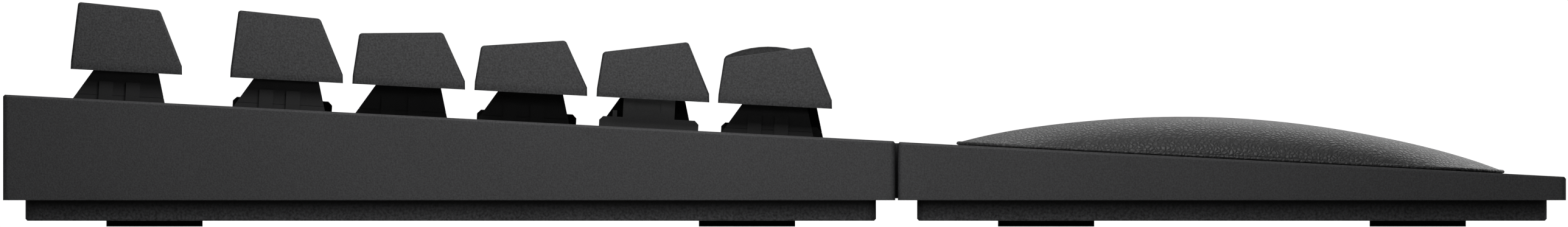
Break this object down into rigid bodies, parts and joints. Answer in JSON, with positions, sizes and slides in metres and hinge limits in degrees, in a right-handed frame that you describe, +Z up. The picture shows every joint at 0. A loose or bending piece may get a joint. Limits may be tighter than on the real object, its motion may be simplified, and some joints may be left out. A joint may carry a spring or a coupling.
{
  "type": "computer keyboard",
  "caption": "Tenkeyless mechanical computer keyboard with sculpted rows of keys, sloping case and a padded wrist rest held at its front by magnets.",
  "frame": {"origin": "on the desk, under the middle of the keyboard and its wrist rest", "axes": "+X to the user's right along the rows of keys, +Y to the back, +Z up"},
  "size_m": [0.362, 0.2436, 0.035],
  "materials": {
    "case_plastic": "black, fine spark-eroded grain",
    "tray_plastic": "black, coarser grain",
    "plate_steel": "black, satin",
    "board_laminate": "green solder mask, satin",
    "socket_metal": "plated, bright",
    "switch_plastic": "black, smooth",
    "stabiliser_plastic": "black, smooth",
    "spring_steel": "bright wire",
    "wire_steel": "bright wire",
    "screw_steel": "blackened",
    "foot_rubber": "black, dull",
    "magnet_metal": "nickel plated",
    "cushion_cover": "black imitation leather, fine pebble grain, soft sheen",
    "keycap_plastic": "black, fine grain"
  },
  "bodies": {
    "keyboard": {"top_case": "case_plastic", "bottom_case": "tray_plastic", "switch_plate": "plate_steel", "circuit_board": "board_laminate", "usb_socket": "socket_metal", "switch_housings": "switch_plastic", "switch_springs": "spring_steel", "stabiliser_housings": "stabiliser_plastic", "case_screws": "screw_steel", "keyboard_feet": "foot_rubber", "case_magnets": "magnet_metal"},
    "wrist_rest": {"rest_base": "case_plastic", "rest_pan": "tray_plastic", "rest_cushion": "cushion_cover", "rest_feet": "foot_rubber", "rest_magnets": "magnet_metal"},
    "backspace_key": {"backspace_key": "keycap_plastic"},
    "enter_key": {"enter_key": "keycap_plastic"},
    "left_shift_key": {"left_shift_key": "keycap_plastic"},
    "right_shift_key": {"right_shift_key": "keycap_plastic"},
    "space_key": {"space_key": "keycap_plastic"},
    "q_key": {"q_key": "keycap_plastic"},
    "w_key": {"w_key": "keycap_plastic"},
    "e_key": {"e_key": "keycap_plastic"},
    "r_key": {"r_key": "keycap_plastic"},
    "t_key": {"t_key": "keycap_plastic"},
    "y_key": {"y_key": "keycap_plastic"},
    "u_key": {"u_key": "keycap_plastic"},
    "i_key": {"i_key": "keycap_plastic"},
    "o_key": {"o_key": "keycap_plastic"},
    "p_key": {"p_key": "keycap_plastic"},
    "a_key": {"a_key": "keycap_plastic"},
    "s_key": {"s_key": "keycap_plastic"},
    "d_key": {"d_key": "keycap_plastic"},
    "f_key": {"f_key": "keycap_plastic"},
    "g_key": {"g_key": "keycap_plastic"},
    "h_key": {"h_key": "keycap_plastic"},
    "j_key": {"j_key": "keycap_plastic"},
    "k_key": {"k_key": "keycap_plastic"},
    "l_key": {"l_key": "keycap_plastic"},
    "z_key": {"z_key": "keycap_plastic"},
    "x_key": {"x_key": "keycap_plastic"},
    "c_key": {"c_key": "keycap_plastic"},
    "v_key": {"v_key": "keycap_plastic"},
    "b_key": {"b_key": "keycap_plastic"},
    "n_key": {"n_key": "keycap_plastic"},
    "m_key": {"m_key": "keycap_plastic"},
    "function_keys": {"function_keys": "keycap_plastic"},
    "number_and_symbol_keys": {"number_and_symbol_keys": "keycap_plastic"},
    "tab_and_caps_keys": {"tab_and_caps_keys": "keycap_plastic"},
    "modifier_keys": {"modifier_keys": "keycap_plastic"},
    "navigation_keys": {"navigation_keys": "keycap_plastic"},
    "arrow_keys": {"arrow_keys": "keycap_plastic"},
    "backspace_wire": {"backspace_wire": "wire_steel"},
    "enter_wire": {"enter_wire": "wire_steel"},
    "left_shift_wire": {"left_shift_wire": "wire_steel"},
    "right_shift_wire": {"right_shift_wire": "wire_steel"},
    "space_wire": {"space_wire": "wire_steel"},
    "tilt_foot_left": {"tilt_foot_left": "tray_plastic"},
    "tilt_foot_right": {"tilt_foot_right": "tray_plastic"}
  },
  "joints": [
    {"name": "backspace_key_press", "type": "slide", "parent": "keyboard", "child": "backspace_key", "axis": [0, 0.0523, -0.9986], "range_m": [0, 0.0036], "stiffness_N_per_m": 75, "springref_m": -0.004, "deforming": ["switch_springs"]},
    {"name": "enter_key_press", "type": "slide", "parent": "keyboard", "child": "enter_key", "axis": [0, 0.0523, -0.9986], "range_m": [0, 0.0036], "stiffness_N_per_m": 75, "springref_m": -0.004, "deforming": ["switch_springs"]},
    {"name": "left_shift_key_press", "type": "slide", "parent": "keyboard", "child": "left_shift_key", "axis": [0, 0.0523, -0.9986], "range_m": [0, 0.0036], "stiffness_N_per_m": 75, "springref_m": -0.004, "deforming": ["switch_springs"]},
    {"name": "right_shift_key_press", "type": "slide", "parent": "keyboard", "child": "right_shift_key", "axis": [0, 0.0523, -0.9986], "range_m": [0, 0.0036], "stiffness_N_per_m": 75, "springref_m": -0.004, "deforming": ["switch_springs"]},
    {"name": "space_key_press", "type": "slide", "parent": "keyboard", "child": "space_key", "axis": [0, 0.0523, -0.9986], "range_m": [0, 0.0036], "stiffness_N_per_m": 75, "springref_m": -0.004, "deforming": ["switch_springs"]},
    {"name": "q_key_press", "type": "slide", "parent": "keyboard", "child": "q_key", "axis": [0, 0.0523, -0.9986], "range_m": [0, 0.0036], "stiffness_N_per_m": 75, "springref_m": -0.004, "deforming": ["switch_springs"]},
    {"name": "w_key_press", "type": "slide", "parent": "keyboard", "child": "w_key", "axis": [0, 0.0523, -0.9986], "range_m": [0, 0.0036], "stiffness_N_per_m": 75, "springref_m": -0.004, "deforming": ["switch_springs"]},
    {"name": "e_key_press", "type": "slide", "parent": "keyboard", "child": "e_key", "axis": [0, 0.0523, -0.9986], "range_m": [0, 0.0036], "stiffness_N_per_m": 75, "springref_m": -0.004, "deforming": ["switch_springs"]},
    {"name": "r_key_press", "type": "slide", "parent": "keyboard", "child": "r_key", "axis": [0, 0.0523, -0.9986], "range_m": [0, 0.0036], "stiffness_N_per_m": 75, "springref_m": -0.004, "deforming": ["switch_springs"]},
    {"name": "t_key_press", "type": "slide", "parent": "keyboard", "child": "t_key", "axis": [0, 0.0523, -0.9986], "range_m": [0, 0.0036], "stiffness_N_per_m": 75, "springref_m": -0.004, "deforming": ["switch_springs"]},
    {"name": "y_key_press", "type": "slide", "parent": "keyboard", "child": "y_key", "axis": [0, 0.0523, -0.9986], "range_m": [0, 0.0036], "stiffness_N_per_m": 75, "springref_m": -0.004, "deforming": ["switch_springs"]},
    {"name": "u_key_press", "type": "slide", "parent": "keyboard", "child": "u_key", "axis": [0, 0.0523, -0.9986], "range_m": [0, 0.0036], "stiffness_N_per_m": 75, "springref_m": -0.004, "deforming": ["switch_springs"]},
    {"name": "i_key_press", "type": "slide", "parent": "keyboard", "child": "i_key", "axis": [0, 0.0523, -0.9986], "range_m": [0, 0.0036], "stiffness_N_per_m": 75, "springref_m": -0.004, "deforming": ["switch_springs"]},
    {"name": "o_key_press", "type": "slide", "parent": "keyboard", "child": "o_key", "axis": [0, 0.0523, -0.9986], "range_m": [0, 0.0036], "stiffness_N_per_m": 75, "springref_m": -0.004, "deforming": ["switch_springs"]},
    {"name": "p_key_press", "type": "slide", "parent": "keyboard", "child": "p_key", "axis": [0, 0.0523, -0.9986], "range_m": [0, 0.0036], "stiffness_N_per_m": 75, "springref_m": -0.004, "deforming": ["switch_springs"]},
    {"name": "a_key_press", "type": "slide", "parent": "keyboard", "child": "a_key", "axis": [0, 0.0523, -0.9986], "range_m": [0, 0.0036], "stiffness_N_per_m": 75, "springref_m": -0.004, "deforming": ["switch_springs"]},
    {"name": "s_key_press", "type": "slide", "parent": "keyboard", "child": "s_key", "axis": [0, 0.0523, -0.9986], "range_m": [0, 0.0036], "stiffness_N_per_m": 75, "springref_m": -0.004, "deforming": ["switch_springs"]},
    {"name": "d_key_press", "type": "slide", "parent": "keyboard", "child": "d_key", "axis": [0, 0.0523, -0.9986], "range_m": [0, 0.0036], "stiffness_N_per_m": 75, "springref_m": -0.004, "deforming": ["switch_springs"]},
    {"name": "f_key_press", "type": "slide", "parent": "keyboard", "child": "f_key", "axis": [0, 0.0523, -0.9986], "range_m": [0, 0.0036], "stiffness_N_per_m": 75, "springref_m": -0.004, "deforming": ["switch_springs"]},
    {"name": "g_key_press", "type": "slide", "parent": "keyboard", "child": "g_key", "axis": [0, 0.0523, -0.9986], "range_m": [0, 0.0036], "stiffness_N_per_m": 75, "springref_m": -0.004, "deforming": ["switch_springs"]},
    {"name": "h_key_press", "type": "slide", "parent": "keyboard", "child": "h_key", "axis": [0, 0.0523, -0.9986], "range_m": [0, 0.0036], "stiffness_N_per_m": 75, "springref_m": -0.004, "deforming": ["switch_springs"]},
    {"name": "j_key_press", "type": "slide", "parent": "keyboard", "child": "j_key", "axis": [0, 0.0523, -0.9986], "range_m": [0, 0.0036], "stiffness_N_per_m": 75, "springref_m": -0.004, "deforming": ["switch_springs"]},
    {"name": "k_key_press", "type": "slide", "parent": "keyboard", "child": "k_key", "axis": [0, 0.0523, -0.9986], "range_m": [0, 0.0036], "stiffness_N_per_m": 75, "springref_m": -0.004, "deforming": ["switch_springs"]},
    {"name": "l_key_press", "type": "slide", "parent": "keyboard", "child": "l_key", "axis": [0, 0.0523, -0.9986], "range_m": [0, 0.0036], "stiffness_N_per_m": 75, "springref_m": -0.004, "deforming": ["switch_springs"]},
    {"name": "z_key_press", "type": "slide", "parent": "keyboard", "child": "z_key", "axis": [0, 0.0523, -0.9986], "range_m": [0, 0.0036], "stiffness_N_per_m": 75, "springref_m": -0.004, "deforming": ["switch_springs"]},
    {"name": "x_key_press", "type": "slide", "parent": "keyboard", "child": "x_key", "axis": [0, 0.0523, -0.9986], "range_m": [0, 0.0036], "stiffness_N_per_m": 75, "springref_m": -0.004, "deforming": ["switch_springs"]},
    {"name": "c_key_press", "type": "slide", "parent": "keyboard", "child": "c_key", "axis": [0, 0.0523, -0.9986], "range_m": [0, 0.0036], "stiffness_N_per_m": 75, "springref_m": -0.004, "deforming": ["switch_springs"]},
    {"name": "v_key_press", "type": "slide", "parent": "keyboard", "child": "v_key", "axis": [0, 0.0523, -0.9986], "range_m": [0, 0.0036], "stiffness_N_per_m": 75, "springref_m": -0.004, "deforming": ["switch_springs"]},
    {"name": "b_key_press", "type": "slide", "parent": "keyboard", "child": "b_key", "axis": [0, 0.0523, -0.9986], "range_m": [0, 0.0036], "stiffness_N_per_m": 75, "springref_m": -0.004, "deforming": ["switch_springs"]},
    {"name": "n_key_press", "type": "slide", "parent": "keyboard", "child": "n_key", "axis": [0, 0.0523, -0.9986], "range_m": [0, 0.0036], "stiffness_N_per_m": 75, "springref_m": -0.004, "deforming": ["switch_springs"]},
    {"name": "m_key_press", "type": "slide", "parent": "keyboard", "child": "m_key", "axis": [0, 0.0523, -0.9986], "range_m": [0, 0.0036], "stiffness_N_per_m": 75, "springref_m": -0.004, "deforming": ["switch_springs"]},
    {"name": "function_keys_press", "type": "slide", "parent": "keyboard", "child": "function_keys", "axis": [0, 0.0523, -0.9986], "range_m": [0, 0.0036], "stiffness_N_per_m": 1200, "springref_m": -0.004, "deforming": ["switch_springs"]},
    {"name": "number_and_symbol_keys_press", "type": "slide", "parent": "keyboard", "child": "number_and_symbol_keys", "axis": [0, 0.0523, -0.9986], "range_m": [0, 0.0036], "stiffness_N_per_m": 1575, "springref_m": -0.004, "deforming": ["switch_springs"]},
    {"name": "tab_and_caps_keys_press", "type": "slide", "parent": "keyboard", "child": "tab_and_caps_keys", "axis": [0, 0.0523, -0.9986], "range_m": [0, 0.0036], "stiffness_N_per_m": 150, "springref_m": -0.004, "deforming": ["switch_springs"]},
    {"name": "modifier_keys_press", "type": "slide", "parent": "keyboard", "child": "modifier_keys", "axis": [0, 0.0523, -0.9986], "range_m": [0, 0.0036], "stiffness_N_per_m": 525, "springref_m": -0.004, "deforming": ["switch_springs"]},
    {"name": "navigation_keys_press", "type": "slide", "parent": "keyboard", "child": "navigation_keys", "axis": [0, 0.0523, -0.9986], "range_m": [0, 0.0036], "stiffness_N_per_m": 450, "springref_m": -0.004, "deforming": ["switch_springs"]},
    {"name": "arrow_keys_press", "type": "slide", "parent": "keyboard", "child": "arrow_keys", "axis": [0, 0.0523, -0.9986], "range_m": [0, 0.0036], "stiffness_N_per_m": 300, "springref_m": -0.004, "deforming": ["switch_springs"]},
    {"name": "backspace_wire_turn", "type": "hinge", "parent": "keyboard", "child": "backspace_wire", "pos_m": [0.09287, 0.08701, 0.01476], "axis": [1, 0, 0], "range_deg": [0, 23]},
    {"name": "enter_wire_turn", "type": "hinge", "parent": "keyboard", "child": "enter_wire", "pos_m": [0.09049, 0.04896, 0.01277], "axis": [1, 0, 0], "range_deg": [0, 23]},
    {"name": "left_shift_wire_turn", "type": "hinge", "parent": "keyboard", "child": "left_shift_wire", "pos_m": [-0.1524, 0.02994, 0.01177], "axis": [1, 0, 0], "range_deg": [0, 23]},
    {"name": "right_shift_wire_turn", "type": "hinge", "parent": "keyboard", "child": "right_shift_wire", "pos_m": [0.08572, 0.02994, 0.01177], "axis": [1, 0, 0], "range_deg": [0, 23]},
    {"name": "space_wire_turn", "type": "hinge", "parent": "keyboard", "child": "space_wire", "pos_m": [-0.04286, 0.01092, 0.01077], "axis": [1, 0, 0], "range_deg": [0, 23]},
    {"name": "tilt_foot_left_fold", "type": "hinge", "parent": "keyboard", "child": "tilt_foot_left", "pos_m": [-0.105, 0.10405, 0.0028], "axis": [1, 0, 0], "range_deg": [0, 110]},
    {"name": "tilt_foot_right_fold", "type": "hinge", "parent": "keyboard", "child": "tilt_foot_right", "pos_m": [0.105, 0.10405, 0.0028], "axis": [1, 0, 0], "range_deg": [0, 110]},
    {"name": "wrist_rest_pull", "type": "slide", "parent": "keyboard", "child": "wrist_rest", "axis": [0, -1, 0], "range_m": [0, 0.05]}
  ],
  "couplings": [
    {"joint": "backspace_wire_turn", "follows": "backspace_key_press", "rad_per_m": 109.46},
    {"joint": "enter_wire_turn", "follows": "enter_key_press", "rad_per_m": 109.46},
    {"joint": "left_shift_wire_turn", "follows": "left_shift_key_press", "rad_per_m": 109.46},
    {"joint": "right_shift_wire_turn", "follows": "right_shift_key_press", "rad_per_m": 109.46},
    {"joint": "space_wire_turn", "follows": "space_key_press", "rad_per_m": 109.46}
  ]
}
